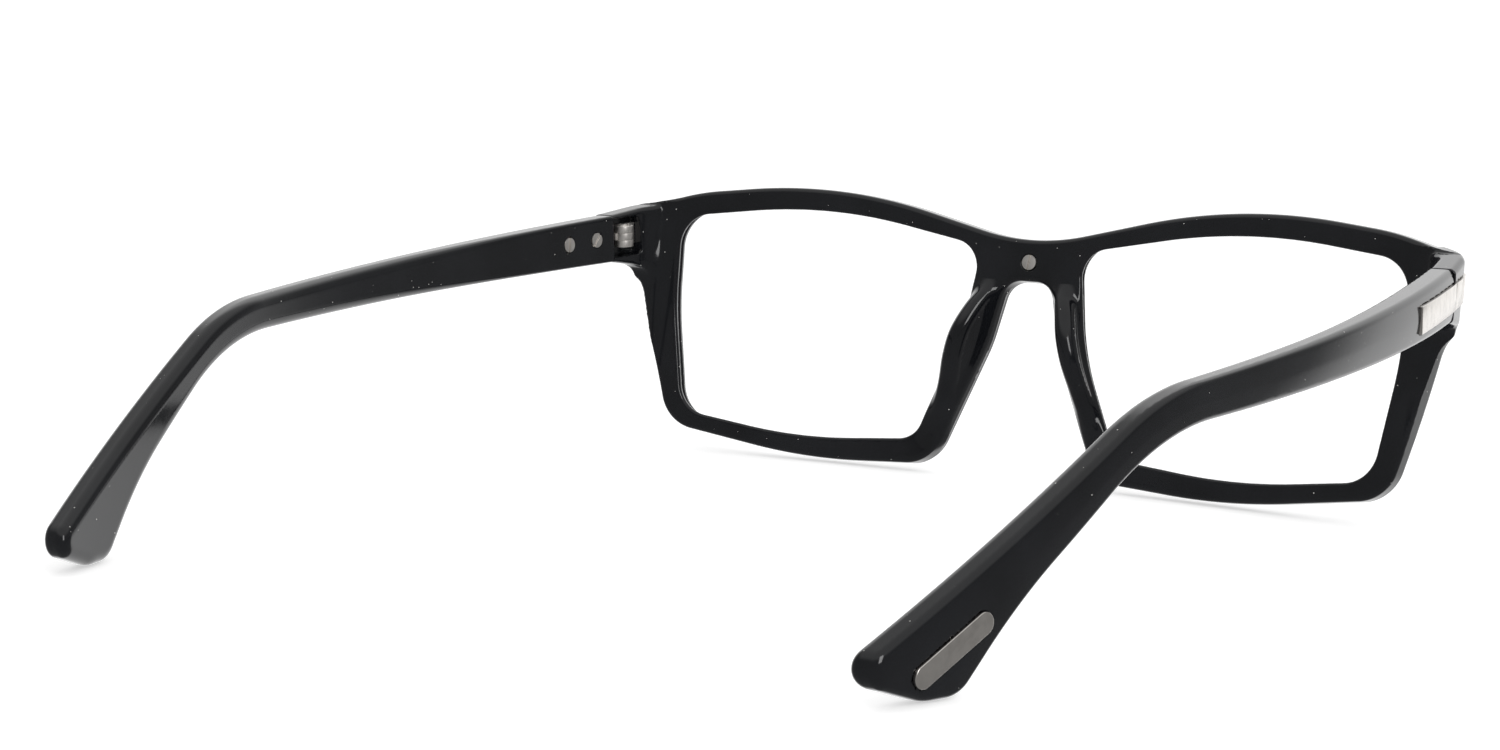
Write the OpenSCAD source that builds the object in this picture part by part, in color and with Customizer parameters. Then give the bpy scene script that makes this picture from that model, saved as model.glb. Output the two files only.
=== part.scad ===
// Eyeglasses frame: a wrapped acetate front, two folding temples, barrel hinges and metal trim.
// Millimetres. The frame stands open on a table at z = 0: +X is the wearer's left, the temples
// run towards +Y, +Z is up. The origin is the middle of the footprint, on the table.

/* [Lenses] */
// Width of one lens opening, across its box
lens_a = 55; // [50:0.5:58]
// Height of one lens opening, across its box
lens_b = 37.5; // [34:0.5:40]
// Distance between the two lens openings
dbl = 18; // [16:0.5:20]
// Depth of the lens groove
groove_depth = 0.6; // [0.4:0.1:0.8]
// Width of the lens groove
groove_width = 1.2; // [0.8:0.1:1.6]

/* [Front] */
// Thickness of the acetate front
front_t = 4; // [3.6:0.1:4.6]
// Radius of the wrap of the front's rear face
front_r = 439; // [380:1:600]
// Radius of the outer corner, where the front turns into an endpiece
corner_r = 10; // [9:0.5:12]
// Forward lean of the front on the table, in degrees
lean = 7.3; // [6:0.1:10]
// Distance from the rear of the bridge back to the seam with the temple
seam_y = 14.7; // [13:0.1:16]
// Height of the hinge above the lens centres
hinge_w = 11.2; // [10:0.1:12]

/* [Temples] */
// Downward slope of an open temple, in degrees
slope = 4.7; // [3:0.1:6]
// Greatest half width, where a temple bows out furthest
half_width = 76.6; // [74:0.1:80]
// Radius of a temple's bow, seen from above
bow_r = 295; // [250:5:400]
// Thickness of a temple
temple_t = 4; // [3.6:0.1:4.4]
// Height of a temple at the hinge
temple_h = 7.8; // [7:0.1:8.4]
// Distance from the seam to the ear bend
bend_s = 96; // [90:1:100]
// Distance from the seam to the end of the tip
tip_s = 141.2; // [136:0.1:148]

/* [Hinges] */
// Radius of a hinge barrel
barrel_r = 1.6; // [1.4:0.05:1.7]
// Height of one hinge knuckle
knuckle_h = 1.15; // [1.05:0.05:1.4]
// Radius of the hinge screw
pin_r = 0.6; // [0.5:0.05:0.7]
// Radial clearance of the moving knuckle on the screw
run_fit = 0.04; // [0.02:0.01:0.08]

/* [Trim] */
// Length of a temple's side plate
plate_l = 22; // [16:0.5:24]
// Height of the side plates
plate_h = 3.8; // [3:0.1:4.4]
// How far the metal trim stands out of the acetate
proud = 0.3; // [0.2:0.1:0.5]
// Colour of the acetate
acetate = "#17181b"; // ["#17181b", "#2b1a12", "#1a2433"]
// Colour of the polished metal
metal = "#d9d2ca"; // ["#d9d2ca", "#c9b27a"]

/* [Hidden] */
steel = "#b9b4ae";
$fn = 32;
// Facets of the large faces that wrap the front and bow the temples
fine = 720;

// Small gap between pieces that touch without being pressed together
gap = 0.03;
// Depth by which trim is let into the acetate
inlay = 0.6;
// Angle between the front and an open temple
tilt = lean + slope;
// Radius of the middle of the lens groove
groove_r = front_r + front_t / 2;
// Lens centre, across from the middle of the bridge
lens_u = (dbl + lens_a) / 2;
// Upper and lower edges of a temple at the seam, about the hinge's height
temple_z = [-temple_h / 2 - 0.3, temple_h / 2 - 0.3];
// Distance from the seam to the point where a temple bows out furthest
bow_s = 42.5;
// Centre of the bow, across
bow_x = half_width - bow_r;
// Direction of a temple at its side plate, splayed outward, in degrees
splay = 7.2;
// Hinge axis, at the temple's inner face and just ahead of the seam
hinge_s = -2.3;
hinge_x = bow_x + sqrt((bow_r - temple_t) ^ 2 - bow_s ^ 2) - 0.28;
// Height of the lens centres above the table, so that the rims just touch it
datum_z = 22.35;
// Shift that puts the origin in the middle of the depth
centre_y = 73.14;
// Seam in the table's frame, at the height of the hinge
seam_wy = seam_y * cos(lean) - hinge_w * sin(lean);
seam_wz = datum_z + seam_y * sin(lean) + hinge_w * cos(lean);
// The tip's underside, flat on the table, written in the temple's own directions
tip_rest_s = tip_s - 12.3;
tip_rest_h = -seam_wz / cos(slope) + tip_rest_s * tan(slope);
tip_heel_s = tip_s - 7.5;
tip_heel_h = -seam_wz / cos(slope) + tip_heel_s * tan(slope);
// Screws through a temple, measured back from the hinge axis
screw_b = [6.5, 13.2];
head_r = 1.2;
head_t = 0.6;
post_r = 1.1;
// Lower and upper edges of the side plates, about the hinge's height
plate_z = [-plate_h / 2 - 0.2, plate_h / 2 - 0.2];
// Bridge screw, above the lens centres
bridge_w = 12.4;

// Angle by which the top of an endpiece rises more steeply than the temple
rise = 4;

// Outline tools: a corner is [x, y, radius]
function flat(v) = [v[0], v[1]];
function unit(v) = v / norm(v);
function cross_z(a, b) = a[0] * b[1] - a[1] * b[0];

function corner(a, b, c, r) =
    let (
        u1 = unit(a - b),
        u2 = unit(c - b),
        half = acos(u1 * u2) / 2,
        centre = b + unit(u1 + u2) * r / sin(half),
        turn = 180 - 2 * half,
        n = max(2, ceil(turn * sqrt(r) / 16)),
        from = b + u1 * r / tan(half) - centre,
        side = sign(cross_z(b - a, c - b))
    )
    [for (i = [0:n])
        let (t = side * turn * i / n)
        centre + [from[0] * cos(t) - from[1] * sin(t), from[0] * sin(t) + from[1] * cos(t)]];

function rounded(p) =
    [for (i = [0:len(p) - 1])
        let (
            b = flat(p[i]),
            a = flat(p[(i + len(p) - 1) % len(p)]),
            c = flat(p[(i + 1) % len(p)])
        )
        each (p[i][2] > 0 ? corner(a, b, c, p[i][2]) : [b])];

// A clockwise outline made larger all round by g
function grown(p, g) =
    [for (i = [0:len(p) - 1])
        let (
            b = flat(p[i]),
            e1 = unit(b - flat(p[(i + len(p) - 1) % len(p)])),
            e2 = unit(flat(p[(i + 1) % len(p)]) - b),
            n1 = [-e1[1], e1[0]],
            n2 = [-e2[1], e2[0]],
            out = cross_z(e1, e2) < 0 ? 1 : -1,
            v = b + g * (n1 + n2) / (1 + n1 * n2)
        )
        [v[0], v[1], max(0.2, p[i][2] + out * g)]];

// One of the two points where two circles meet: the one with the greater x
function circles_meet(p, rp, q, rq) =
    let (
        d = norm(q - p),
        along = (d ^ 2 + rp ^ 2 - rq ^ 2) / (2 * d),
        aside = sqrt(rp ^ 2 - along ^ 2),
        e = (q - p) / d,
        m = p + along * e,
        v = aside * [e[1], -e[0]]
    )
    (m + v)[0] > (m - v)[0] ? m + v : m - v;

// Lens opening about its box centre, for the wearer's left, clockwise from the upper nose corner
kx = lens_a / 55;
ky = lens_b / 37.5;
lens_corners = [
    [-28.2 * kx, 14.8 * ky, 5],
    [0, 20 * ky, 90],
    [27.3 * kx, 16.4 * ky, 6],
    [26.9 * kx, 1 * ky, 60],
    [24 * kx, -16.8 * ky, 6],
    [2 * kx, -19.5 * ky, 90],
    [-19.2 * kx, -17.6 * ky, 5],
    [-26.2 * kx, -1.5 * ky, 40]];

// Right half of the front's outline, from the top of the bridge round to the nose arch
nose_u = dbl / 2 - 9;
front_half = [
    [lens_u - 1.5, 23.6 * ky, 90],
    [lens_u + 23.5, 20.5 * ky, 40],
    [lens_u + 43.5, 14.8 * ky, 0],
    [lens_u + 43.5, hinge_w + temple_z[0] * cos(tilt), 0],
    [lens_u + 33.6, hinge_w + temple_z[0] * cos(tilt) - 0.7, 6],
    [lens_u + 26.5, -19 * ky, 7],
    [lens_u + 0.5, -22.6 * ky, 100],
    [nose_u + 14.5, -21.2 * ky, 7],
    [nose_u + 6.4, -1, 25],
    [nose_u + 4, 9.2, 3.5]];
front_corners = concat([[0, 15.1, 38]], front_half,
    [for (i = [len(front_half) - 1:-1:0]) [-front_half[i][0], front_half[i][1], front_half[i][2]]]);

// Side of a temple: distance back from the seam, height above the hinge
temple_corners = [
    [0, temple_z[1], 0],
    [bend_s, 2.6, 38],
    [tip_s + 3.4, -19.5, 2.4],
    [tip_heel_s, tip_heel_h, 6],
    [tip_rest_s, tip_rest_h, 4],
    [bend_s + 24, -16.4, 60],
    [bend_s - 0.5, -2, 38],
    [0, temple_z[0], 0]];

// Frames of reference
module in_front() {
    translate([0, -centre_y, datum_z]) rotate([lean, 0, 0]) children();
}

module in_temple() {
    translate([0, seam_wy - centre_y, seam_wz]) rotate([-slope, 0, 0]) children();
}

// At the hinge: x outward, y back along the temple, z up the hinge axis
module in_hinge() {
    in_temple() translate([hinge_x, hinge_s, 0]) rotate([0, 0, -splay]) children();
}

module other_side() {
    mirror([1, 0, 0]) children();
}

module rod_x(r, from, to) {
    translate([from, 0, 0]) rotate([0, 90, 0]) cylinder(h = to - from, r = r);
}

module box(x, y, z) {
    translate([x[0], y[0], z[0]]) cube([x[1] - x[0], y[1] - y[0], z[1] - z[0]]);
}

// The space inside the front's plan, grown by g, with its two front corners rounded
module plan_fill(g, fillet) {
    ra = front_r + front_t + g;
    rb = bow_r + g;
    side_c = [bow_x, seam_y + bow_s];
    fc = circles_meet([0, front_r], ra - fillet, side_c, rb - fillet);
    top = 30;
    intersection() {
        translate([0, front_r, -top]) cylinder(h = 2 * top, r = ra, $fn = fine);
        translate([side_c[0], side_c[1], -top]) cylinder(h = 2 * top, r = rb, $fn = fine);
        translate([-side_c[0], side_c[1], -top]) cylinder(h = 2 * top, r = rb, $fn = fine);
        union() {
            box([-fc[0], fc[0]], [-10, 40], [-top, top]);
            box([-90, 90], [fc[1], 40], [-top, top]);
            for (s = [-1, 1])
                translate([s * fc[0], fc[1], -top]) cylinder(h = 2 * top, r = fillet, $fn = 96);
        }
    }
}

module plan_wall(outer, inner) {
    difference() {
        plan_fill(outer, corner_r + outer);
        plan_fill(-inner, max(3, corner_r - inner));
    }
}

// A flat outline in the lens plane, made into a prism from front to rear
module through_front(points, from = -10, to = 30) {
    translate([0, to, 0]) rotate([90, 0, 0]) linear_extrude(to - from) polygon(points);
}

// A slotted cheese-head screw along x: its head's face is at 0 and its shank runs to +x
module slotted_screw(shank_end, turn) {
    difference() {
        union() {
            rod_x(head_r, 0, head_t);
            rod_x(pin_r, head_t - 0.1, shank_end);
        }
        rotate([turn, 0, 0]) box([-0.1, 0.3], [-0.16, 0.16], [-2, 2]);
    }
}

// Room for that screw
module screw_room(shank_end) {
    rod_x(head_r + gap, -1, head_t + gap);
    rod_x(pin_r + gap, 0, shank_end);
}

// Hinge pieces, in the hinge's frame
stack = 1.5 * knuckle_h + gap + 0.01;
leaf_x = [0.7, 1.5];
floor_x = 1.9;

module hinge_pocket() {
    box([-3, floor_x], [-3.3, 5], [-3.4, 3]);
    box([-3, floor_x], [-4.1, -3.2], [-3.4, 2.2]);
    translate([0, -3.3, 2.2]) rod_x(0.8, -3, floor_x);
    translate([0, -2.9, 0]) rod_x(0.8 + gap, floor_x - 0.1, floor_x + 0.7);
}

module front_leaf() {
    difference() {
        union() {
            box([floor_x - 0.75, floor_x - gap], [-4, 0.9], [-stack, stack]);
            box([-0.1, floor_x - gap], [-1.5, 0.9], [-stack, stack]);
            translate([0, 0, -stack]) cylinder(h = 2 * stack, r = barrel_r);
            translate([0, -2.9, 0]) rod_x(0.8, floor_x - 0.1, floor_x + 0.6);
        }
        translate([0, 0, -knuckle_h / 2 - gap]) cylinder(h = knuckle_h + 2 * gap, r = barrel_r + 0.1);
        box([-2, floor_x], [-0.2, 2], [-knuckle_h / 2 - gap, knuckle_h / 2 + gap]);
        cylinder(h = 10, r = pin_r + 0.02, center = true);
        translate([0, 0, stack - 0.3]) cylinder(h = 1, r = head_r - 0.2 + gap);
    }
}

module temple_leaf() {
    difference() {
        union() {
            translate([0, 0, -knuckle_h / 2]) cylinder(h = knuckle_h, r = barrel_r);
            box([0, leaf_x[1]], [0, 2], [-knuckle_h / 2, knuckle_h / 2]);
            box(leaf_x, [1, 3.4], [-knuckle_h / 2, knuckle_h / 2]);
            box(leaf_x, [3.2, 16], [-2.2, 2.2]);
        }
        cylinder(h = 10, r = pin_r + run_fit, center = true);
        for (b = screw_b)
            translate([0, b, 0]) rod_x(pin_r + 0.1, 0, 3);
    }
}

module leaf_room() {
    box([leaf_x[0] - gap, leaf_x[1] + gap], [0, 3.5], [-knuckle_h / 2 - gap, knuckle_h / 2 + gap]);
    box([leaf_x[0] - gap, leaf_x[1] + gap], [3.2 - gap, 16 + gap], [-2.2 - gap, 2.2 + gap]);
}

module hinge_pin() {
    difference() {
        union() {
            translate([0, 0, -stack]) cylinder(h = 2 * stack - 0.2, r = pin_r);
            translate([0, 0, stack - 0.28]) cylinder(h = 0.5, r = head_r - 0.2);
        }
        box([-2, 2], [-0.14, 0.14], [stack, stack + 1]);
    }
}

// A strip that follows the outer face of a temple, from out above it to deep below it
module plate_strip(out, deep, from, extra) {
    intersection() {
        rotate([0, 0, splay]) translate([-hinge_x, -hinge_s, 0]) bow_shell(-out, deep);
        box([0, 12], [from, 2.3 + plate_l + extra], [plate_z[0] - extra, plate_z[1] + extra]);
    }
}

// Side plate on a temple: a curved strip with two threaded posts that the screws draw in
outer_x = temple_t;
module bevelled_plate(x, y, z, bevel) {
    hull() {
        box([x[0], x[1] - bevel], y, z);
        box(x, [y[0] + bevel / 2, y[1] - bevel], [z[0] + bevel, z[1] - bevel]);
    }
}

module temple_plate() {
    difference() {
        in_hinge() difference() {
            union() {
                plate_strip(proud, inlay, 1.8, 0);
                for (b = screw_b)
                    translate([0, b, 0]) rod_x(post_r, leaf_x[1] + 2 * gap, outer_x - inlay + 0.1);
            }
            for (b = screw_b)
                translate([0, b, 0]) rod_x(pin_r + gap, 0, outer_x - 0.3);
        }
        in_temple() box([60, 90], [-5, gap], [-9, 9]);
    }
}

module plate_room() {
    plate_strip(6, inlay + gap, 1.5, gap);
    for (b = screw_b)
        translate([0, b, 0]) rod_x(post_r + gap, leaf_x[1], outer_x);
}

// Side plate on an endpiece: a band that follows the outer corner round to the front
module endpiece_band(extra) {
    intersection() {
        in_front() plan_wall(extra > 0 ? 5 : proud, inlay + extra);
        in_temple() box([66.5 - extra, 90], [-20, 2], [plate_z[0] - extra, plate_z[1] + extra]);
        in_temple() box([60, 90], [-20, extra > 0 ? 2 : -gap], [-9, 9]);
    }
}

module endpiece_pin(extra) {
    in_front() translate([69.6, 7.3 + extra, hinge_w + 0.4])
        rotate([90, 0, 0]) cylinder(h = 3.8 + 2 * extra, r = 0.7 + extra);
}

// Bonded nose pad: a low smooth fin along the nose side of the rim, as [across, back, up, radius]
pad_path = [
    [6.5, 0.7, 6.6, 1.3],
    [8.3, 2.7, 1.4, 1.7],
    [9.6, 3.2, -3.4, 1.7],
    [11.4, 1.9, -8.8, 1.6],
    [13, 0.4, -12.8, 1.4]];

module nose_pad() {
    in_front() difference() {
        for (i = [1:len(pad_path) - 1])
            hull() {
                for (p = [pad_path[i - 1], pad_path[i]])
                    for (y = [0, p[1]])
                        translate([p[0], y, p[2]]) sphere(r = p[3], $fn = 24);
            }
        difference() {
            box([2, 20], [-8, front_t], [-20, 12]);
            translate([0, front_r, -30]) cylinder(h = 60, r = front_r - gap, $fn = fine);
        }
    }
}

// Temple solids, for the wearer's left
module bow_shell(inner, outer) {
    translate([bow_x, bow_s, -60]) difference() {
        cylinder(h = 90, r = bow_r - inner, $fn = fine);
        translate([0, 0, -1]) cylinder(h = 92, r = bow_r - outer, $fn = fine);
    }
}

module side_prism(points) {
    translate([40, 0, 0]) rotate([90, 0, 90]) linear_extrude(60) polygon(points);
}

// Core wire: a flat strip that follows the middle of the temple round the ear bend
module core_strip(extra) {
    w = 0.7 + extra;
    from = 24 - extra;
    mid = [[from, 0], [bend_s + 0.2, 0.3], [tip_s - 10.4 + extra, -20]];
    strip = [
        [mid[0][0], mid[0][1] + w, 0], [mid[1][0], mid[1][1] + w, 38.7 + w], [mid[2][0], mid[2][1] + w, 0],
        [mid[2][0], mid[2][1] - w, 0], [mid[1][0], mid[1][1] - w, 38.7 - w], [mid[0][0], mid[0][1] - w, 0]];
    intersection() {
        side_prism(rounded(strip));
        bow_shell(temple_t / 2 - 0.6 - extra, temple_t / 2 + 0.6 + extra);
    }
}

// Plain plaque let into the outer face of a tip
plaque_s = 130.5;
plaque_h = -19.3;
plaque_b = 4.9;
plaque_r = 1.3;
plaque_turn = asin((plaque_s - bow_s) / bow_r);
module at_plaque() {
    in_temple()
        translate([bow_x + sqrt(bow_r ^ 2 - (plaque_s - bow_s) ^ 2), plaque_s, plaque_h])
        rotate([0, 0, plaque_turn]) rotate([-24, 0, 0]) children();
}

module plaque_shape(x, extra) {
    for (b = [-plaque_b, plaque_b])
        translate([0, b, 0]) rod_x(plaque_r + extra, x[0], x[1]);
    box(x, [-plaque_b, plaque_b], [-plaque_r - extra, plaque_r + extra]);
}

module temple() {
    difference() {
        in_temple() difference() {
            intersection() {
                side_prism(rounded(temple_corners));
                bow_shell(0, temple_t);
            }
            core_strip(gap);
        }
        in_hinge() {
            leaf_room();
            plate_room();
            for (b = screw_b)
                translate([0, b, 0]) screw_room(leaf_x[1] + 0.5);
        }
        at_plaque() plaque_shape([-0.5, 3], gap);
    }
}

// Parts
module front_frame() {
    color(acetate) difference() {
        in_front() difference() {
            intersection() {
                through_front(rounded(front_corners));
                plan_wall(0, front_t);
            }
            for (s = [-1, 1]) {
                lens = [for (c = lens_corners) [s * c[0] + s * lens_u, c[1], c[2]]];
                wide = grown(lens_corners, groove_depth);
                through_front(rounded(lens));
                intersection() {
                    through_front(rounded([for (c = wide) [s * c[0] + s * lens_u, c[1], c[2]]]));
                    translate([0, front_r, -30]) difference() {
                        cylinder(h = 60, r = groove_r + groove_width / 2, $fn = fine);
                        translate([0, 0, -1]) cylinder(h = 62, r = groove_r - groove_width / 2, $fn = fine);
                    }
                }
            }
            translate([0, 0, bridge_w]) rotate([0, 0, -90]) {
                rod_x(head_r + gap, -1, head_t + gap);
                rod_x(pin_r + gap, 0, 2);
                rod_x(post_r + gap, 1.5, 5);
                box([front_t - inlay - gap, 9], [-4.5 - gap, 4.5 + gap], [-1.6 - gap, 1.6 + gap]);
            }
        }
        for (s = [0, 1]) mirror([s, 0, 0]) {
            in_temple() box([60, 90], [-gap, 30], [-12, 12]);
            in_temple() translate([0, 0, temple_z[1]]) rotate([-rise, 0, 0]) box([66.5, 90], [-10.5, 5], [0, 9]);
            in_hinge() hinge_pocket();
            endpiece_band(gap);
            endpiece_pin(gap);
        }
    }
}

module bridge_bar() {
    color(metal) in_front() translate([0, 0, bridge_w]) rotate([0, 0, -90]) difference() {
        union() {
            bevelled_plate([front_t - inlay, front_t + proud], [-4.5, 4.5], [-1.6, 1.6], 0.3);
            rod_x(post_r, 1.5 + gap, front_t - inlay + 0.1);
        }
        rod_x(pin_r + gap, 0, front_t - 0.2);
    }
}

module bridge_screw() {
    color(steel) in_front() translate([0, 0, bridge_w]) rotate([0, 0, -90]) slotted_screw(3.4, 10);
}

module nose_pad_left() { color(acetate) nose_pad(); }
module nose_pad_right() { color(acetate) other_side() nose_pad(); }
module temple_left() { color(acetate) temple(); }
module temple_right() { color(acetate) other_side() temple(); }
module core_wire_left() { color(steel) in_temple() core_strip(0); }
module core_wire_right() { color(steel) other_side() in_temple() core_strip(0); }
module front_hinge_leaf_left() { color(metal) in_hinge() front_leaf(); }
module front_hinge_leaf_right() { color(metal) other_side() in_hinge() front_leaf(); }
module temple_hinge_leaf_left() { color(metal) in_hinge() temple_leaf(); }
module temple_hinge_leaf_right() { color(metal) other_side() in_hinge() temple_leaf(); }
module hinge_screw_left() { color(steel) in_hinge() hinge_pin(); }
module hinge_screw_right() { color(steel) other_side() in_hinge() hinge_pin(); }
module temple_plate_left() { color(metal) temple_plate(); }
module temple_plate_right() { color(metal) other_side() temple_plate(); }
module endpiece_plate_left() { color(metal) endpiece_plate(); }
module endpiece_plate_right() { color(metal) other_side() endpiece_plate(); }
module tip_plaque_left() { color(metal) tip_plaque(); }
module tip_plaque_right() { color(metal) other_side() tip_plaque(); }

module endpiece_plate() {
    endpiece_band(0);
    endpiece_pin(0);
}

module tip_plaque() {
    at_plaque() plaque_shape([-0.5 + gap, 0.3], 0);
}

module temple_screws() {
    in_hinge() {
        translate([0, screw_b[0], 0]) slotted_screw(3.4, 40);
        translate([0, screw_b[1], 0]) slotted_screw(3.4, 4);
    }
}
module temple_screws_left() { color(steel) temple_screws(); }
module temple_screws_right() { color(steel) other_side() temple_screws(); }

front_frame();
nose_pad_left();
nose_pad_right();
bridge_bar();
bridge_screw();
temple_left();
temple_right();
core_wire_left();
core_wire_right();
front_hinge_leaf_left();
front_hinge_leaf_right();
temple_hinge_leaf_left();
temple_hinge_leaf_right();
hinge_screw_left();
hinge_screw_right();
temple_plate_left();
temple_plate_right();
temple_screws_left();
temple_screws_right();
endpiece_plate_left();
endpiece_plate_right();
tip_plaque_left();
tip_plaque_right();
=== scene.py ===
"""Looks of an eyeglasses frame: glossy black acetate on polished metal hinges and trim.

The acetate pieces are worked out as smooth distance fields in millimetres and turned into meshes.
The small metal pieces keep the shape of their CAD nodes, with their edges broken by a bevel.
"""

import math

import bmesh
import bpy
import numpy as np
from mathutils import Matrix, Vector


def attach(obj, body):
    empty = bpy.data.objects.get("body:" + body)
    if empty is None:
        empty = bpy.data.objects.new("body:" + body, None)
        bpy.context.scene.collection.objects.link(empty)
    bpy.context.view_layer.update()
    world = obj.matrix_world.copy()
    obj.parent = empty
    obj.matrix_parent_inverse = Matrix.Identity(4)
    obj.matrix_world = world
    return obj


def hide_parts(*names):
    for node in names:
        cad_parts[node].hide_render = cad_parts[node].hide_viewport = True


MM = 0.001
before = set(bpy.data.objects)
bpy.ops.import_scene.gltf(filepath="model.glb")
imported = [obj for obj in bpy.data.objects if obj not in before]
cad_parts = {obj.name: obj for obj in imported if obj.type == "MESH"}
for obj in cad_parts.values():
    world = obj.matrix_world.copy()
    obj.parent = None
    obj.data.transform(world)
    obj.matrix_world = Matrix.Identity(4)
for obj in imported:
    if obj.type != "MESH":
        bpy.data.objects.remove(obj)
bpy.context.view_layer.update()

# Sizes of the frame, in millimetres, as in the CAD model
LENS_A, DBL = 55, 18
LENS_U = (LENS_A + DBL) / 2
GROOVE_DEPTH = 0.6
FRONT_T, FRONT_R = 4, 439
# Radii of blend at the outer corner, which is obtuse: 6.5 follows the part's arc of 10
CORNER_R, CORNER_IN_R = 6.5, 4
LEAN, SLOPE = 7.3, 4.7
SEAM_Y, HINGE_W = 14.7, 11.2
HALF_WIDTH, BOW_R, BOW_S = 76.6, 295, 42.5
BOW_X = HALF_WIDTH - BOW_R
TEMPLE_T = 4
TEMPLE_TOP, TEMPLE_BOTTOM = 3.6, -4.2
BEND_S, TIP_S = 96, 141.2
SPLAY = 7.2
HINGE_S = -2.3
HINGE_X = BOW_X + math.sqrt((BOW_R - TEMPLE_T) ** 2 - BOW_S ** 2) - 0.28
DATUM_Z, CENTRE_Y = 22.35, 73.14
GAP = 0.03
BRIDGE_W = 12.4
PLATE_L, PLATE_H, INLAY = 22, 3.8, 0.6
PLATE_Z = (-PLATE_H / 2 - 0.2, PLATE_H / 2 - 0.2)
SCREW_B = (6.5, 13.2)
HEAD_R = 1.2
FLOOR_X = 1.9
ARM_RISE = 4
PLAQUE_S, PLAQUE_H, PLAQUE_DROP = 130.5, -19.3, 24
PLAQUE_HALF, PLAQUE_R, PLAQUE_DEPTH = 4.9, 1.3, 0.5
ARM_U = 66.5
BAR_HALF_W, BAR_HALF_H = 4.5, 1.6
PLATE_START = 2.3

# Seats, pockets and limits of the acetate pieces, in millimetres
POCKET_B, POCKET_C, POCKET_EDGE = (-4.1, 9), (-3.4, 3.0), 1.0
FLAT_BACK = 5.5
HEAD_DEPTH, HEAD_ROOM, BRIDGE_HEAD_ROOM = 0.7, 0.06, 0.12
LEAF_X, LEAF_HALF_H, LEAF_END = (0.65, 1.55), 0.7, 3
FRONT_BOX = (0, -5.0, -23.5), (75.0, 16.5, 24.0)
TEMPLE_BOX = (54.5, -0.8, -28), (77.6, 142, 5.2)

# Edges, fillets and crown of the tumbled acetate, in millimetres; the drafts are slopes
RIM_EDGE = 0.9
REAR_DRAFT = 0.05
LENS_EDGE = 0.7
LENS_DRAFT = 0.3
FILLET_LOW, FILLET_TOP, FILLET_W = 3.2, 0.8, (8, 12)
TEMPLE_EDGE, INNER_EDGE, INNER_EDGE_S = 0.8, (0.6, 1.7), (10, 60)
ARM_EDGE, FINE_EDGE = 1.0, 0.1
CUT_EDGE, SCREW_EDGE, SEAT_EDGE = 0.16, 0.08, 0.05
CROWN = 0.4


def cosd(a):
    """Cosine of an angle in degrees."""
    return math.cos(math.radians(a))


def sind(a):
    """Sine of an angle in degrees."""
    return math.sin(math.radians(a))


SEAM_WY = SEAM_Y * cosd(LEAN) - HINGE_W * sind(LEAN)
SEAM_WZ = DATUM_Z + SEAM_Y * sind(LEAN) + HINGE_W * cosd(LEAN)


# ---- Frames of reference: 4x4 matrices from a local frame to the table's frame, in millimetres

def turn(axis, degrees):
    """A turn about an axis."""
    return np.array(Matrix.Rotation(math.radians(degrees), 4, axis))


def shift(x, y, z):
    """A move along the three axes."""
    return np.array(Matrix.Translation((x, y, z)))


FRONT = shift(0, -CENTRE_Y, DATUM_Z) @ turn("X", LEAN)
TEMPLE = shift(0, SEAM_WY - CENTRE_Y, SEAM_WZ) @ turn("X", -SLOPE)
HINGE = TEMPLE @ shift(HINGE_X, HINGE_S, 0) @ turn("Z", -SPLAY)
FRONT_TO_TEMPLE = np.linalg.inv(TEMPLE) @ FRONT
FRONT_TO_HINGE = np.linalg.inv(HINGE) @ FRONT
TEMPLE_TO_HINGE = np.linalg.inv(HINGE) @ TEMPLE
PLAQUE = (TEMPLE
          @ shift(BOW_X + math.sqrt(BOW_R ** 2 - (PLAQUE_S - BOW_S) ** 2), PLAQUE_S, PLAQUE_H)
          @ turn("Z", math.degrees(math.asin((PLAQUE_S - BOW_S) / BOW_R)))
          @ turn("X", -PLAQUE_DROP))
TEMPLE_TO_PLAQUE = np.linalg.inv(PLAQUE) @ TEMPLE


def moved(matrix, x, y, z):
    """The three coordinates of points in another frame."""
    return tuple(matrix[i, 0] * x + matrix[i, 1] * y + matrix[i, 2] * z + matrix[i, 3] for i in range(3))


# ---- Distance fields: negative inside, in millimetres

def round_and(a, b, r):
    """What is in both a and b, with the edge between them rounded to radius r."""
    return np.minimum(np.maximum(a, b), -r) + np.hypot(np.maximum(a + r, 0), np.maximum(b + r, 0))


def soft_or(a, b, k):
    """What is in a or b, with the corner between them filled smoothly over k."""
    h = np.clip(0.5 + 0.5 * (b - a) / k, 0, 1)
    return b * (1 - h) + a * h - k * h * (1 - h)


def slab(x, low, high):
    """What lies between low and high."""
    return np.abs(x - (low + high) / 2) - (high - low) / 2


def rounded_rect(x, y, xs, ys, r):
    """A rectangle with rounded corners, from its range in x and in y."""
    qx = slab(x, *xs) + r
    qy = slab(y, *ys) + r
    return np.minimum(np.maximum(qx, qy), 0) + np.hypot(np.maximum(qx, 0), np.maximum(qy, 0)) - r


def smooth_step(x, low, high):
    """Rises smoothly from 0 at low to 1 at high."""
    t = np.clip((x - low) / (high - low), 0, 1)
    return t * t * (3 - 2 * t)


# ---- Outlines: a corner is (x, y, radius)

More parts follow.
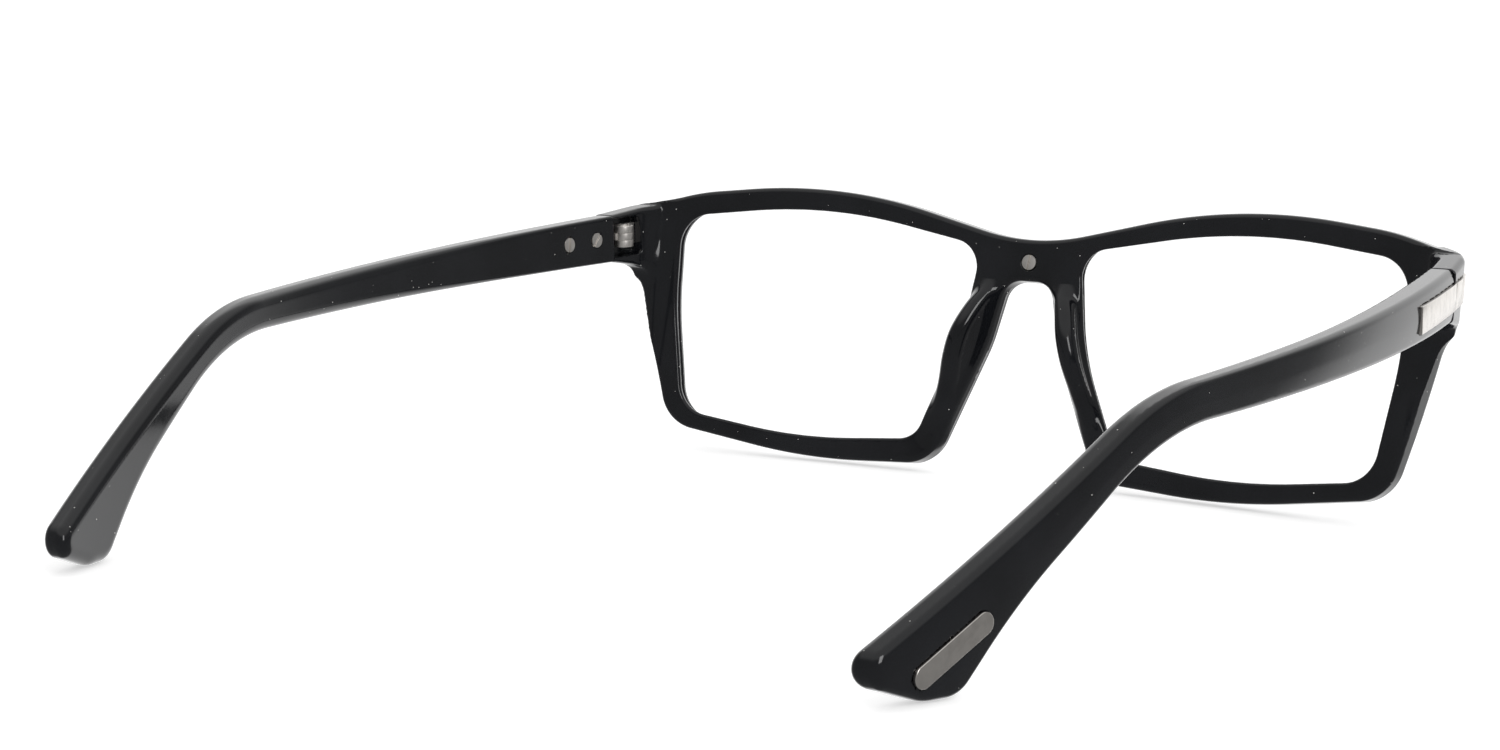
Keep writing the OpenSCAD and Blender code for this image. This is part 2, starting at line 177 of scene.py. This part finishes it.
def rounded(corners, step=0.25):
    """The points of a closed outline whose corners are arcs."""
    points = []
    count = len(corners)
    for i, (bx, by, r) in enumerate(corners):
        a = np.array(corners[i - 1][:2], float)
        b = np.array((bx, by), float)
        c = np.array(corners[(i + 1) % count][:2], float)
        if r == 0:
            points.append(b)
            continue
        u1 = (a - b) / np.linalg.norm(a - b)
        u2 = (c - b) / np.linalg.norm(c - b)
        half = math.acos(u1 @ u2) / 2
        mid = (u1 + u2) / np.linalg.norm(u1 + u2)
        centre = b + mid * r / math.sin(half)
        start = b + u1 * r / math.tan(half) - centre
        sweep = math.pi - 2 * half
        side = np.sign((b - a)[0] * (c - b)[1] - (b - a)[1] * (c - b)[0])
        n = max(3, math.ceil(sweep * r / step))
        for t in side * sweep * np.arange(n + 1) / n:
            points.append(centre + (start[0] * math.cos(t) - start[1] * math.sin(t),
                                    start[0] * math.sin(t) + start[1] * math.cos(t)))
    return np.array(points)


class Outline:
    """Signed distance to a closed outline, kept on a grid and read smoothly between its points."""

    def __init__(self, points, low, high, pitch=0.25):
        self.low, self.pitch = np.array(low, float), pitch
        self.size = np.ceil((np.array(high) - low) / pitch).astype(int) + 1
        gx = low[0] + pitch * np.arange(self.size[0])
        gy = low[1] + pitch * np.arange(self.size[1])
        x, y = (g.ravel() for g in np.meshgrid(gx, gy, indexing="ij"))
        nearest = np.full(x.shape, 1e9)
        inside = np.zeros(x.shape, bool)
        for (ax, ay), (bx, by) in zip(points, np.roll(points, -1, 0)):
            dx, dy = bx - ax, by - ay
            if dx == dy == 0:
                continue
            t = np.clip(((x - ax) * dx + (y - ay) * dy) / (dx * dx + dy * dy), 0, 1)
            np.minimum(nearest, (x - ax - t * dx) ** 2 + (y - ay - t * dy) ** 2, out=nearest)
            if dy != 0:
                inside ^= ((ay > y) != (by > y)) & (x < ax + (y - ay) * dx / dy)
        self.grid = np.where(inside, -1, 1).reshape(self.size) * np.sqrt(nearest).reshape(self.size)

    def __call__(self, x, y):
        """Catmull-Rom lookup."""
        px = np.clip((x - self.low[0]) / self.pitch, 1, self.size[0] - 2.001)
        py = np.clip((y - self.low[1]) / self.pitch, 1, self.size[1] - 2.001)
        ix, iy = px.astype(int), py.astype(int)
        total = 0
        wx, wy = self.weights(px - ix), self.weights(py - iy)
        for i in range(4):
            row = 0
            for j in range(4):
                row = row + wy[j] * self.grid[ix + i - 1, iy + j - 1]
            total = total + wx[i] * row
        return total

    @staticmethod
    def weights(t):
        """Shares of the four grid points round a place."""
        return ((-t + 2 * t ** 2 - t ** 3) / 2, (2 - 5 * t ** 2 + 3 * t ** 3) / 2,
                (t + 4 * t ** 2 - 3 * t ** 3) / 2, (t ** 3 - t ** 2) / 2)


LENS_CORNERS = [(-28.2, 14.8, 5), (0, 20.0, 90), (27.3, 16.4, 6), (26.9, 1, 60),
                (24.0, -16.8, 6), (2, -19.5, 90), (-19.2, -17.6, 5), (-26.2, -1.5, 40)]
ARM_BOTTOM = HINGE_W + TEMPLE_BOTTOM * cosd(LEAN + SLOPE)
FRONT_HALF = [(LENS_U - 1.5, 23.6, 90), (LENS_U + 23.5, 20.5, 40), (LENS_U + 43.5, 14.8, 0),
              (LENS_U + 43.5, ARM_BOTTOM, 0), (LENS_U + 33.6, ARM_BOTTOM - 0.7, 6),
              (LENS_U + 26.5, -19.0, 7), (LENS_U + 0.5, -22.6, 100), (14.5, -21.2, 7),
              (6.4, -1, 25), (4, 9.2, 3.5)]
FRONT_CORNERS = [(0, 15.1, 38)] + FRONT_HALF + [(-x, y, r) for x, y, r in reversed(FRONT_HALF)]
REST_S, HEEL_S = TIP_S - 12.3, TIP_S - 7.5


def resting(s):
    """Height of the table's surface below the hinge, in the temple's directions."""
    return -SEAM_WZ / cosd(SLOPE) + s * math.tan(math.radians(SLOPE))


SIDE_CORNERS = [(-8, TEMPLE_TOP, 0), (0, TEMPLE_TOP, 0), (BEND_S - 1, 2.65, 38),
                (TIP_S + 2.8, -19.9, 2.4), (HEEL_S, resting(HEEL_S), 6), (REST_S, resting(REST_S), 4),
                (BEND_S + 24, -16.4, 60), (BEND_S - 0.5, -2.0, 38), (0, TEMPLE_BOTTOM, 0),
                (-8, TEMPLE_BOTTOM, 0)]


# Nose pad, from its lower end up: place, middle and crest of the fin
PAD_W = [-16, -12, -7.5, -3, 0.5, 5, 9.5]
PAD_U = [14.6, 13.1, 11.1, 9.2, 8.15, 7.3, 6.5]
PAD_Y = [-1.8, -0.3, 1.3, 3.1, 3.4, 1.6, -1.6]
PAD_FLARE, PAD_R, PAD_BLEND, PAD_ROOT, PAD_SLOPE = 0.35, 1.7, 1.6, 1.5, 0.85


# ---- Acetate pieces as fields

lens_outline = Outline(rounded(LENS_CORNERS), (-33, -25), (33, 25))
front_outline = Outline(rounded(FRONT_CORNERS), (-2, -26), (80, 28))
side_outline = Outline(rounded(SIDE_CORNERS), (-9, -29), (144, 7))


def front_walls(u, y):
    """The front and its two arms in plan: distances from the outer and inner skin, and radius."""
    radial = np.hypot(u, y - FRONT_R)
    bow = np.hypot(u - BOW_X, y - SEAM_Y - BOW_S)
    outer = round_and(radial - FRONT_R - FRONT_T, bow - BOW_R, CORNER_R)
    inner = round_and(radial - FRONT_R, bow - BOW_R + TEMPLE_T, CORNER_IN_R)
    return outer, inner, radial


def pocket(a, b, c):
    """The milled pocket for the barrels, in the hinge's frame."""
    return np.maximum(rounded_rect(b, c, POCKET_B, POCKET_C, POCKET_EDGE), a - FLOOR_X)


def front_body(u, y, w, wall, radial):
    """The front with its arms and nose pads, before the hinge and the trim are cut in."""
    _, s_t, h_t = moved(FRONT_TO_TEMPLE, u, y, w)
    draft = REAR_DRAFT * np.clip(FRONT_R + FRONT_T - radial, 0, 5)
    flat = np.maximum(front_outline(u, w) + draft, y - FLAT_BACK)
    arm_top = (h_t - TEMPLE_TOP - GAP) * cosd(ARM_RISE) + s_t * sind(ARM_RISE)
    arm = round_and(np.maximum(arm_top, ARM_BOTTOM - w), ARM_U - u, ARM_EDGE)
    blend = FILLET_LOW + (FILLET_TOP - FILLET_LOW) * smooth_step(w, *FILLET_W)
    f = round_and(wall, soft_or(flat, arm, blend), RIM_EDGE)
    lens = lens_outline(u - LENS_U, w)
    f = round_and(f, LENS_DRAFT * (radial - FRONT_R - FRONT_T / 2) - lens, LENS_EDGE)
    f = soft_or(f, np.maximum(pad_field(u, y, w), -y - PAD_ROOT), PAD_BLEND)
    groove = (np.abs(radial - FRONT_R - FRONT_T / 2) + lens - GROOVE_DEPTH) / math.sqrt(2)
    return round_and(f, -groove, FINE_EDGE)


def front_field(u, y, w):
    """The whole acetate front: its body, less the seam, hinge pockets and seats of the trim."""
    u = np.abs(u)
    outer, inner, radial = front_walls(u, y)
    f = front_body(u, y, w, np.maximum(outer, -inner), radial)
    _, s_t, h_t = moved(FRONT_TO_TEMPLE, u, y, w)
    a, b, c = moved(FRONT_TO_HINGE, u, y, w)
    f = round_and(f, s_t + GAP, CUT_EDGE)
    f = round_and(f, -pocket(a, b, c), CUT_EDGE)
    band = np.maximum(slab(h_t, PLATE_Z[0] - GAP, PLATE_Z[1] + GAP), ARM_U - 0.05 - u)
    f = round_and(f, -np.maximum(band, -(outer + INLAY + GAP)), SEAT_EDGE)
    head = np.hypot(u, w - BRIDGE_W) - HEAD_R - BRIDGE_HEAD_ROOM
    f = round_and(f, -np.maximum(head, -y - HEAD_DEPTH), FINE_EDGE)
    half_w, half_h = BAR_HALF_W + GAP, BAR_HALF_H + GAP
    bar = np.maximum(rounded_rect(u, w, (-half_w, half_w), (BRIDGE_W - half_h, BRIDGE_W + half_h), 0.1),
                     y + FRONT_T - INLAY)
    return round_and(f, -bar, SEAT_EDGE)


def flowing(t, knots, values):
    """A smooth curve through the values given at ascending knots."""
    knots, values = np.array(knots, float), np.array(values, float)
    slopes = np.gradient(values, knots)
    i = np.clip(np.searchsorted(knots, t) - 1, 0, len(knots) - 2)
    span = knots[i + 1] - knots[i]
    f = np.clip((t - knots[i]) / span, 0, 1)
    return ((1 + 2 * f) * (1 - f) ** 2 * values[i] + f * (1 - f) ** 2 * span * slopes[i]
            + f * f * (3 - 2 * f) * values[i + 1] + f * f * (f - 1) * span * slopes[i + 1])


def pad_field(u, y, w):
    """A nose pad: a low smooth fin along the nose side of the rim, flared away from the nose."""
    crest = flowing(w, PAD_W, PAD_Y)
    middle = flowing(w, PAD_W, PAD_U)
    aside = u - middle - PAD_FLARE * np.maximum(np.minimum(y, crest), 0)
    beyond = np.maximum(np.abs(w - (PAD_W[0] + PAD_W[-1]) / 2) - (PAD_W[-1] - PAD_W[0]) / 2, 0)
    return PAD_SLOPE * (np.sqrt(aside ** 2 + np.maximum(y - crest, 0) ** 2 + beyond ** 2) - PAD_R)


def temple_field(x, s, h):
    """A temple: bowed in plan, cut to its side outline, with seats for the metal pieces."""
    bow = np.hypot(x - BOW_X, s - BOW_S)
    side = side_outline(s, h) + GAP / 3
    depth = np.clip(-side / TEMPLE_TOP, 0, 1)
    crown = CROWN * (1 - depth) ** 2
    inner_edge = INNER_EDGE[0] + (INNER_EDGE[1] - INNER_EDGE[0]) * smooth_step(s, *INNER_EDGE_S)
    f = np.maximum(round_and(bow - BOW_R + crown, side, TEMPLE_EDGE),
                   round_and(BOW_R - TEMPLE_T - bow, side, inner_edge))
    f = round_and(f, GAP - s, CUT_EDGE)
    a, b, c = moved(TEMPLE_TO_HINGE, x, s, h)
    leaf = np.maximum(rounded_rect(a, c, LEAF_X, (-LEAF_HALF_H, LEAF_HALF_H), 0.05), b - LEAF_END)
    f = round_and(f, -leaf, SCREW_EDGE)
    plate_b = (-3, PLATE_START + PLATE_L + GAP)
    plate_c = (PLATE_Z[0] - GAP, PLATE_Z[1] + GAP)
    plate = np.maximum(rounded_rect(b, c, plate_b, plate_c, 0.15), BOW_R - INLAY - GAP - bow)
    f = round_and(f, -plate, SEAT_EDGE)
    for screw in SCREW_B:
        hole = np.maximum(np.hypot(b - screw, c) - HEAD_R - HEAD_ROOM, a - HEAD_DEPTH)
        f = round_and(f, -hole, SCREW_EDGE)
    pa, pb, pc = moved(TEMPLE_TO_PLAQUE, x, s, h)
    slot = np.hypot(np.maximum(np.abs(pb) - PLAQUE_HALF, 0), pc) - PLAQUE_R - GAP
    return round_and(f, -np.maximum(slot, -PLAQUE_DEPTH - pa), SEAT_EDGE)


# ---- Fields to meshes

CELL_EDGES = [(axis, o1, o2) for axis in range(3) for o1 in (0, 1) for o2 in (0, 1)]


def crossed_cells(inside):
    """The cells that the surface passes through."""
    n = [size - 1 for size in inside.shape]
    count = np.zeros(n, np.int8)
    for i in (0, 1):
        for j in (0, 1):
            for k in (0, 1):
                count += inside[i:n[0] + i, j:n[1] + j, k:n[2] + k]
    return np.argwhere((count > 0) & (count < 8))


def cell_points(f, cells):
    """The middle of the places where the surface cuts each cell's edges, in cells."""
    total = np.zeros((len(cells), 3))
    crossings = np.zeros(len(cells))
    for axis, o1, o2 in CELL_EDGES:
        a = cells.copy()
        a[:, (axis + 1) % 3] += o1
        a[:, (axis + 2) % 3] += o2
        b = a.copy()
        b[:, axis] += 1
        fa, fb = f[tuple(a.T)], f[tuple(b.T)]
        hit = (fa < 0) != (fb < 0)
        point = a.astype(float)
        point[:, axis] += np.where(hit, fa / np.where(hit, fa - fb, 1), 0)
        total[hit] += point[hit]
        crossings[hit] += 1
    return total / crossings[:, None]


def cell_faces(inside, index, axis):
    """Four-sided faces across the grid's edges along one axis, turned outwards."""
    n = index.shape
    b1, b2 = (axis + 1) % 3, (axis + 2) % 3
    lower = [slice(None)] * 3
    upper = [slice(None)] * 3
    lower[axis], upper[axis] = slice(0, -1), slice(1, None)
    at = np.argwhere(inside[tuple(lower)] != inside[tuple(upper)])
    at = at[(at[:, b1] > 0) & (at[:, b1] < n[b1]) & (at[:, b2] > 0) & (at[:, b2] < n[b2])]
    ring = []
    for d1, d2 in ((-1, -1), (0, -1), (0, 0), (-1, 0)):
        cell = at.copy()
        cell[:, b1] += d1
        cell[:, b2] += d2
        ring.append(index[tuple(cell.T)])
    quad = np.stack(ring, 1)
    flip = ~inside[tuple(at.T)]
    quad[flip] = quad[flip][:, ::-1]
    return quad


def surface_net(f, low, pitch):
    """One point in each cell that the surface crosses, joined into four-sided faces."""
    inside = f < 0
    cells = crossed_cells(inside)
    index = np.full([size - 1 for size in f.shape], -1, np.int64)
    index[tuple(cells.T)] = np.arange(len(cells))
    faces = [cell_faces(inside, index, axis) for axis in range(3)]
    return np.array(low) + pitch * cell_points(f, cells), np.concatenate(faces)


def gradient(field, p, h=0.02):
    """The field's slope at each point."""
    g = np.empty_like(p)
    for axis in range(3):
        d = np.zeros(3)
        d[axis] = h
        g[:, axis] = (field(*(p + d).T) - field(*(p - d).T)) / (2 * h)
    return g


def settled(field, points, pitch, rounds=6):
    """Points moved on to the field's zero surface, and the surface's direction there."""
    p = points.copy()
    for _ in range(rounds):
        g = gradient(field, p)
        step = field(*p.T)[:, None] * g / np.maximum((g ** 2).sum(1), 0.2)[:, None]
        size = np.linalg.norm(step, axis=1)[:, None]
        p -= step * np.minimum(1, 0.5 * pitch / np.maximum(size, 1e-9))
    g = gradient(field, p)
    return p, g / np.maximum(np.linalg.norm(g, axis=1), 1e-9)[:, None]


def mesh_object(name, points, faces, directions, mirror=False):
    """An object in metres from points in millimetres, with its smooth directions kept."""
    points, directions, faces = points.copy(), directions.copy(), faces.copy()
    if mirror:
        points[:, 0] *= -1
        directions[:, 0] *= -1
        faces = faces[:, ::-1]
    mesh = bpy.data.meshes.new(name)
    mesh.from_pydata((points * MM).tolist(), [], faces.tolist())
    mesh.polygons.foreach_set("use_smooth", np.ones(len(mesh.polygons), bool))
    mesh.normals_split_custom_set_from_vertices(directions.tolist())
    mesh.update()
    obj = bpy.data.objects.new(name, mesh)
    bpy.context.scene.collection.objects.link(obj)
    return obj


def meshed(field, low, high, pitch, to_table, symmetric=False):
    """A field's surface in the table's frame: points, faces and directions."""
    axes = [np.arange(low[i], high[i] + pitch, pitch) for i in range(3)]
    x, y, z = np.meshgrid(*axes, indexing="ij")
    values = field(x, y, z)
    start = [axes[i][0] for i in range(3)]
    if symmetric:
        values = np.concatenate([values[:0:-1], values])
        start[0] = -axes[0][-1]
    points, faces = surface_net(values, start, pitch)
    points, directions = settled(field, points, pitch)
    return points @ to_table[:3, :3].T + to_table[:3, 3], faces, directions @ to_table[:3, :3].T


PITCH = 0.32


def acetate_pieces():
    """The front with its nose pads, and both temples; the right is the left one mirrored."""
    pieces = {}
    front = meshed(front_field, *FRONT_BOX, PITCH, FRONT, symmetric=True)
    pieces["front"] = mesh_object("acetate_front", *front)
    temple = meshed(temple_field, *TEMPLE_BOX, PITCH, TEMPLE)
    for side, mirror in (("left", False), ("right", True)):
        pieces["temple_" + side] = mesh_object("acetate_temple_" + side, *temple, mirror=mirror)
    return pieces


# ---- Metal pieces: the CAD node's shape with its edges broken

def broken_edges(node, name, width, segments=3):
    """A copy of a CAD node, its flat faces joined up and its sharp edges rounded."""
    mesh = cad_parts[node].data.copy()
    work = bmesh.new()
    work.from_mesh(mesh)
    bmesh.ops.remove_doubles(work, verts=work.verts, dist=2e-6)
    bmesh.ops.dissolve_limit(work, angle_limit=math.radians(0.5), verts=work.verts, edges=work.edges)
    work.to_mesh(mesh)
    work.free()
    mesh.materials.clear()
    mesh.polygons.foreach_set("use_smooth", np.ones(len(mesh.polygons), bool))
    obj = bpy.data.objects.new(name, mesh)
    bpy.context.scene.collection.objects.link(obj)
    bevel = obj.modifiers.new("edges", "BEVEL")
    bevel.width = width * MM
    bevel.segments = segments
    bevel.limit_method = "ANGLE"
    bevel.angle_limit = math.radians(28)
    bevel.harden_normals = True
    bevel.use_clamp_overlap = True
    return obj


# ---- Materials

SPECK_COLOUR = (0.62, 0.61, 0.58, 1)


class Nodes:
    """Short way to add and join shader nodes."""

    def __init__(self, name):
        self.material = bpy.data.materials.new(name)
        self.material.use_nodes = True
        self.tree = self.material.node_tree
        self.shader = self.tree.nodes["Principled BSDF"]
        self.place = self.add("ShaderNodeTexCoord").outputs["Object"]

    def add(self, kind, **settings):
        """A new node; a setting is one of its properties or inputs."""
        node = self.tree.nodes.new(kind)
        for key, value in settings.items():
            if hasattr(node, key):
                setattr(node, key, value)
            else:
                node.inputs[key.replace("_", " ")].default_value = value
        return node

    def join(self, source, target):
        """Link an output to an input."""
        self.tree.links.new(source, target)

    def noise(self, scale, detail=3.0, roughness=0.5):
        """Noise that stays with the object."""
        node = self.add("ShaderNodeTexNoise", Scale=scale, Detail=detail, Roughness=roughness)
        self.join(self.place, node.inputs["Vector"])
        return node.outputs["Fac"]

    def ramp(self, value, stops):
        """Colours at positions along a value."""
        node = self.add("ShaderNodeValToRGB")
        points = node.color_ramp.elements
        while len(points) < len(stops):
            points.new(0.5)
        for point, (position, colour) in zip(points, stops):
            point.position = position
            point.color = (*colour, 1)
        self.join(value, node.inputs["Fac"])
        return node.outputs["Color"]

    def span(self, value, low, high):
        """A value from 0 to 1 spread from low to high."""
        node = self.add("ShaderNodeMapRange")
        node.inputs["To Min"].default_value = low
        node.inputs["To Max"].default_value = high
        self.join(value, node.inputs["Value"])
        return node.outputs["Result"]

    def maths(self, operation, a, b):
        """A sum on two values, each a number or an output."""
        node = self.add("ShaderNodeMath", operation=operation)
        for socket, value in zip(node.inputs, (a, b)):
            if isinstance(value, (int, float)):
                socket.default_value = value
            else:
                self.join(value, socket)
        return node.outputs[0]

    def bump(self, height, strength, distance):
        """Fine relief on the shader."""
        node = self.add("ShaderNodeBump", Strength=strength, Distance=distance)
        self.join(height, node.inputs["Height"])
        self.join(node.outputs["Normal"], self.shader.inputs["Normal"])


def acetate_material():
    """Tumble-polished black acetate with a few pale specks under the polish."""
    n = Nodes("black_acetate")
    cloud = n.ramp(n.noise(90, 4), [(0.35, (0.0045, 0.0050, 0.0062)),
                                    (0.7, (0.0085, 0.0092, 0.0112))])
    cells = n.add("ShaderNodeTexVoronoi", Scale=700.0, Randomness=1.0)
    n.join(n.place, cells.inputs["Vector"])
    chance = n.add("ShaderNodeSeparateColor")
    n.join(cells.outputs["Color"], chance.inputs["Color"])
    size = n.maths("MULTIPLY", chance.outputs["Red"], 0.07)
    speck = n.maths("LESS_THAN", cells.outputs["Distance"], size)
    mix = n.add("ShaderNodeMix", data_type="RGBA")
    n.join(speck, mix.inputs["Factor"])
    # Inputs 6 and 7 of this node are its two colours
    n.join(cloud, mix.inputs[6])
    mix.inputs[7].default_value = SPECK_COLOUR
    n.join(mix.outputs[2], n.shader.inputs["Base Color"])
    n.join(n.span(n.noise(420, 5, 0.65), 0.05, 0.15), n.shader.inputs["Roughness"])
    n.shader.inputs["IOR"].default_value = 1.49
    n.bump(n.noise(260, 2), 0.05, 0.00006)
    return n.material


def metal_material(name, colour, smooth, rough, brushed=0.0):
    """Polished or turned metal with faint handling marks."""
    n = Nodes(name)
    n.shader.inputs["Metallic"].default_value = 1.0
    tint = [tuple(c * k for c in colour) for k in (0.88, 1.0)]
    n.join(n.ramp(n.noise(700, 4), [(0.3, tint[0]), (0.6, tint[1])]), n.shader.inputs["Base Color"])
    n.join(n.span(n.noise(1500, 5, 0.7), smooth, rough), n.shader.inputs["Roughness"])
    n.shader.inputs["Anisotropic"].default_value = brushed
    n.bump(n.noise(3000, 3), 0.06, 0.00002)
    return n.material


def paint(obj, material):
    """Give an object one material."""
    obj.data.materials.clear()
    obj.data.materials.append(material)


# ---- Camera, floor and light

CEILING = (0, 0, 1)
BACKDROP = (0.45, -0.88, -0.05)
ROOM = 0.24


def camera():
    """Behind the wearer's right, as the photograph was taken: 31.5 degrees off the middle."""
    data = bpy.data.cameras.new("camera")
    data.sensor_width = 36
    data.lens = 67.3
    data.clip_end = 20
    obj = bpy.data.objects.new("camera", data)
    azimuth, height, roll, distance = 211.52, 0.49, 5.24, 470.0
    target = (49.63, 0.0, -9.61)
    back = np.array((sind(azimuth) * cosd(height), -cosd(azimuth) * cosd(height), sind(height)))
    right = np.array((cosd(azimuth), sind(azimuth), 0))
    up = np.cross(back, right)
    right, up = cosd(roll) * right + sind(roll) * up, cosd(roll) * up - sind(roll) * right
    place = np.eye(4)
    place[:3, 0], place[:3, 1], place[:3, 2] = right, up, back
    place[:3, 3] = np.array(target) + distance * back
    place = FRONT @ place
    place[:3, 3] *= MM
    obj.matrix_world = Matrix(place.tolist())
    bpy.context.scene.collection.objects.link(obj)
    bpy.context.scene.camera = obj


def stage_material(name, shade, glow):
    """A matt surface that also glows, so that it stays white in the picture."""
    n = Nodes(name)
    tone = n.ramp(n.noise(2, 2), [(0.3, (shade - 0.02,) * 3), (0.7, (shade,) * 3)])
    n.join(tone, n.shader.inputs["Base Color"])
    n.join(tone, n.shader.inputs["Emission Color"])
    n.shader.inputs["Emission Strength"].default_value = glow
    n.shader.inputs["Roughness"].default_value = 0.8
    n.shader.inputs["Specular IOR Level"].default_value = 0
    return n.material


def floor():
    """A plain pale floor, and a pale wall all round it that only the camera sees."""
    bpy.ops.mesh.primitive_plane_add(size=8, location=(0, 0, -0.0002))
    ground = bpy.context.object
    ground.name = "floor"
    paint(ground, stage_material("pale_floor", shade=0.88, glow=0.65))
    ground.visible_glossy = False
    bpy.ops.mesh.primitive_uv_sphere_add(segments=48, ring_count=24, radius=5)
    wall = bpy.context.object
    wall.name = "wall"
    paint(wall, stage_material("pale_wall", shade=0.97, glow=1.15))
    wall.visible_glossy = wall.visible_diffuse = wall.visible_shadow = wall.visible_transmission = False


def softbox(name, place, aim, size, power):
    """A rectangular lamp that looks at a point."""
    data = bpy.data.lights.new(name, "AREA")
    data.shape = "RECTANGLE"
    data.size, data.size_y = size
    data.energy = power
    obj = bpy.data.objects.new(name, data)
    obj.location = place
    obj.rotation_euler = (Vector(aim) - Vector(place)).to_track_quat("-Z", "Y").to_euler()
    bpy.context.scene.collection.objects.link(obj)


def studio():
    """Soft light: a bright ceiling, a bright backdrop ahead of the frame, a dim room elsewhere."""
    world = bpy.data.worlds.new("studio")
    world.use_nodes = True
    nodes, links = world.node_tree.nodes, world.node_tree.links
    place = nodes.new("ShaderNodeTexCoord").outputs["Generated"]
    total = ROOM
    for toward, start, full, power in ((CEILING, 0.5, 0.8, 0.5), (BACKDROP, 0.53, 0.72, 0.95)):
        along = nodes.new("ShaderNodeVectorMath")
        along.operation = "DOT_PRODUCT"
        along.inputs[1].default_value = Vector(toward).normalized()
        links.new(place, along.inputs[0])
        level = nodes.new("ShaderNodeMapRange")
        level.interpolation_type = "SMOOTHSTEP"
        level.inputs["From Min"].default_value = start
        level.inputs["From Max"].default_value = full
        level.inputs["To Max"].default_value = power
        links.new(along.outputs["Value"], level.inputs["Value"])
        add = nodes.new("ShaderNodeMath")
        add.operation = "ADD"
        if isinstance(total, float):
            add.inputs[0].default_value = total
        else:
            links.new(total, add.inputs[0])
        links.new(level.outputs["Result"], add.inputs[1])
        total = add.outputs[0]
    links.new(total, nodes["Background"].inputs["Strength"])
    nodes["Background"].inputs["Color"].default_value = (1, 1, 1, 1)
    bpy.context.scene.world = world
    softbox("key", place=(-0.75, 0.55, 0.55), aim=(0, 0, 0.02), size=(0.3, 0.6), power=3)
    bpy.context.scene.view_settings.view_transform = "Standard"


# ---- Assembly

def main():
    """Build everything: hang each piece on the body it rides on, and hide the CAD nodes it replaces."""
    camera()
    floor()
    studio()
    acetate = acetate_material()
    silver = metal_material("polished_nickel", (0.74, 0.705, 0.665), 0.16, 0.30)
    hinge_metal = metal_material("hinge_nickel", (0.94, 0.905, 0.86), 0.38, 0.50)
    steel = metal_material("turned_steel", (0.94, 0.905, 0.86), 0.38, 0.50, 0.4)
    wire = metal_material("core_wire_metal", (0.6, 0.59, 0.57), 0.3, 0.45)

    pieces = acetate_pieces()
    for piece in pieces.values():
        paint(piece, acetate)
    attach(pieces["front"], "front")
    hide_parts("front_frame", "nose_pad_left", "nose_pad_right")
    for side in ("left", "right"):
        body = side + "_temple"
        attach(pieces["temple_" + side], body)
        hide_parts("temple_" + side)
        metal = [("temple_plate", body, silver, "polished_trim", 0.09),
                 ("endpiece_plate", "front", silver, "polished_trim", 0.3),
                 ("tip_plaque", body, silver, "polished_trim", 0.12),
                 ("front_hinge_leaf", "front", hinge_metal, "hinge_metal", 0.09),
                 ("temple_hinge_leaf", body, hinge_metal, "hinge_metal", 0.09),
                 ("hinge_screw", "front", steel, "screw_steel", 0.06),
                 ("temple_screws", body, steel, "screw_steel", 0.1)]
        for node, rides_on, material, slot, width in metal:
            polished(f"{node}_{side}", rides_on, material, width)
        paint(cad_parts["core_wire_" + side], wire)
    polished("bridge_bar", "front", silver, 0.09)
    polished("bridge_screw", "front", steel, 0.1)


def polished(node, body, material, width):
    """A metal piece made from its CAD node."""
    piece = broken_edges(node, "bright_" + node, width)
    paint(piece, material)
    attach(piece, body)
    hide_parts(node)


main()
